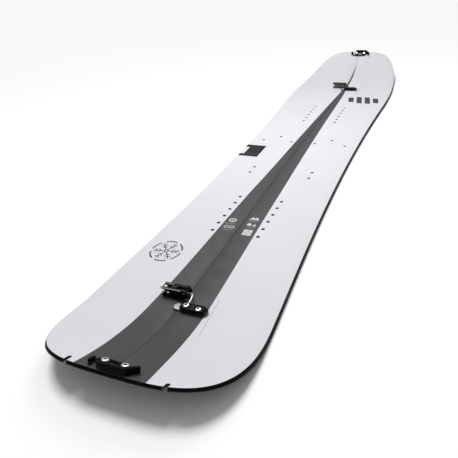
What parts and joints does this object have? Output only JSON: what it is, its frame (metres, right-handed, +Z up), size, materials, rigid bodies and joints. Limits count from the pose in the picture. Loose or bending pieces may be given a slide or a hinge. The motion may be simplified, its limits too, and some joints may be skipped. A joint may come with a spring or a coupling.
{
  "type": "splitboard",
  "caption": "Two-half touring snowboard joined by hooked tip clips and two lever-and-hook cross latches, with threaded insert rows for bindings.",
  "frame": {"origin": "centre of the board's outline at the level of the flat running base", "axes": "+Y from tail to nose, +X to the right looking towards the nose, +Z up from the running base"},
  "size_m": [0.2832, 1.5464, 0.0681],
  "materials": {
    "topsheet": "satin printed nylon sheet, white with a charcoal wedge",
    "sidewall": "black ABS, machined",
    "steel_edge": "ground steel",
    "base": "black sintered polyethylene",
    "core": "laminated poplar",
    "insert_steel": "turned stainless steel",
    "black_metal": "black anodised",
    "lever_metal": "black anodised with bright machined chamfers",
    "screw": "bright stainless steel",
    "pin": "ground steel",
    "wire": "bright stainless wire",
    "tongue_steel": "bead-blasted stainless steel",
    "bush": "acetal",
    "pad": "moulded"
  },
  "bodies": {
    "board": {"topsheet_left": "topsheet", "sidewall_left": "sidewall", "steel_edge_left": "steel_edge", "base_left": "base", "core_left": "core", "rear_insert_row_left": "insert_steel", "front_insert_row_left": "insert_steel", "touring_toe_inserts_left": "insert_steel", "touring_heel_inserts_left": "insert_steel", "topsheet_right": "topsheet", "sidewall_right": "sidewall", "steel_edge_right": "steel_edge", "base_right": "base", "core_right": "core", "rear_insert_row_right": "insert_steel", "front_insert_row_right": "insert_steel", "touring_toe_inserts_right": "insert_steel", "touring_heel_inserts_right": "insert_steel", "tail_clip_bush_left": "bush", "tail_clip_screw_left": "screw", "tail_clip_bush_right": "bush", "tail_clip_screw_right": "screw", "nose_clip_bush_left": "bush", "nose_clip_screw_left": "screw", "nose_clip_bush_right": "bush", "nose_clip_screw_right": "screw", "rear_latch_base": "black_metal", "rear_latch_base_screw_outer": "screw", "rear_latch_base_screw_inner": "screw", "rear_latch_pin_tailward": "pin", "rear_latch_pin_noseward": "pin", "rear_receiver_pad": "pad", "rear_receiver_tongue": "tongue_steel", "rear_receiver_bar": "black_metal", "rear_receiver_screw_inner": "screw", "rear_receiver_screw_outer": "screw", "front_latch_base": "black_metal", "front_latch_base_screw_outer": "screw", "front_latch_base_screw_inner": "screw", "front_latch_pin_tailward": "pin", "front_latch_pin_noseward": "pin", "front_receiver_pad": "pad", "front_receiver_tongue": "tongue_steel", "front_receiver_bar": "black_metal", "front_receiver_screw_inner": "screw", "front_receiver_screw_outer": "screw"},
    "tail_arm_left": {"tail_clip_arm_left": "black_metal"},
    "tail_arm_right": {"tail_clip_arm_right": "black_metal"},
    "nose_arm_left": {"nose_clip_arm_left": "black_metal"},
    "nose_arm_right": {"nose_clip_arm_right": "black_metal"},
    "rear_lever": {"rear_latch_lever": "lever_metal", "rear_hook_pin": "pin"},
    "rear_hook": {"rear_wire_hook": "wire"},
    "front_lever": {"front_latch_lever": "lever_metal", "front_hook_pin": "pin"},
    "front_hook": {"front_wire_hook": "wire"}
  },
  "joints": [
    {"name": "tail_arm_left_swing", "type": "hinge", "parent": "board", "child": "tail_arm_left", "pos_m": [-0.0112, -0.75798, 0.03802], "axis": [0, 0.3595, 0.9331], "range_deg": [-34, 0]},
    {"name": "tail_arm_right_swing", "type": "hinge", "parent": "board", "child": "tail_arm_right", "pos_m": [0.0138, -0.75798, 0.03802], "axis": [0, 0.3595, 0.9331], "range_deg": [-38, 0]},
    {"name": "nose_arm_left_swing", "type": "hinge", "parent": "board", "child": "nose_arm_left", "pos_m": [-0.0112, 0.75802, 0.05517], "axis": [0, -0.3998, 0.9166], "range_deg": [0, 34]},
    {"name": "nose_arm_right_swing", "type": "hinge", "parent": "board", "child": "nose_arm_right", "pos_m": [0.0138, 0.75802, 0.05517], "axis": [0, -0.3998, 0.9166], "range_deg": [0, 38]},
    {"name": "rear_lever_lift", "type": "hinge", "parent": "board", "child": "rear_lever", "pos_m": [0.0005, -0.59268, 0.0189], "axis": [0, 1, 0], "range_deg": [0, 110]},
    {"name": "rear_hook_swing", "type": "hinge", "parent": "rear_lever", "child": "rear_hook", "pos_m": [-0.0075, -0.59268, 0.0154], "axis": [0, 1, 0], "range_deg": [-110, 0]},
    {"name": "front_lever_lift", "type": "hinge", "parent": "board", "child": "front_lever", "pos_m": [0.0005, 0.49482, 0.0189], "axis": [0, 1, 0], "range_deg": [0, 110]},
    {"name": "front_hook_swing", "type": "hinge", "parent": "front_lever", "child": "front_hook", "pos_m": [-0.0075, 0.49482, 0.0154], "axis": [0, 1, 0], "range_deg": [-110, 0]}
  ],
  "couplings": [
    {"joint": "rear_hook_swing", "follows": "rear_lever_lift", "ratio": -1},
    {"joint": "front_hook_swing", "follows": "front_lever_lift", "ratio": -1}
  ]
}
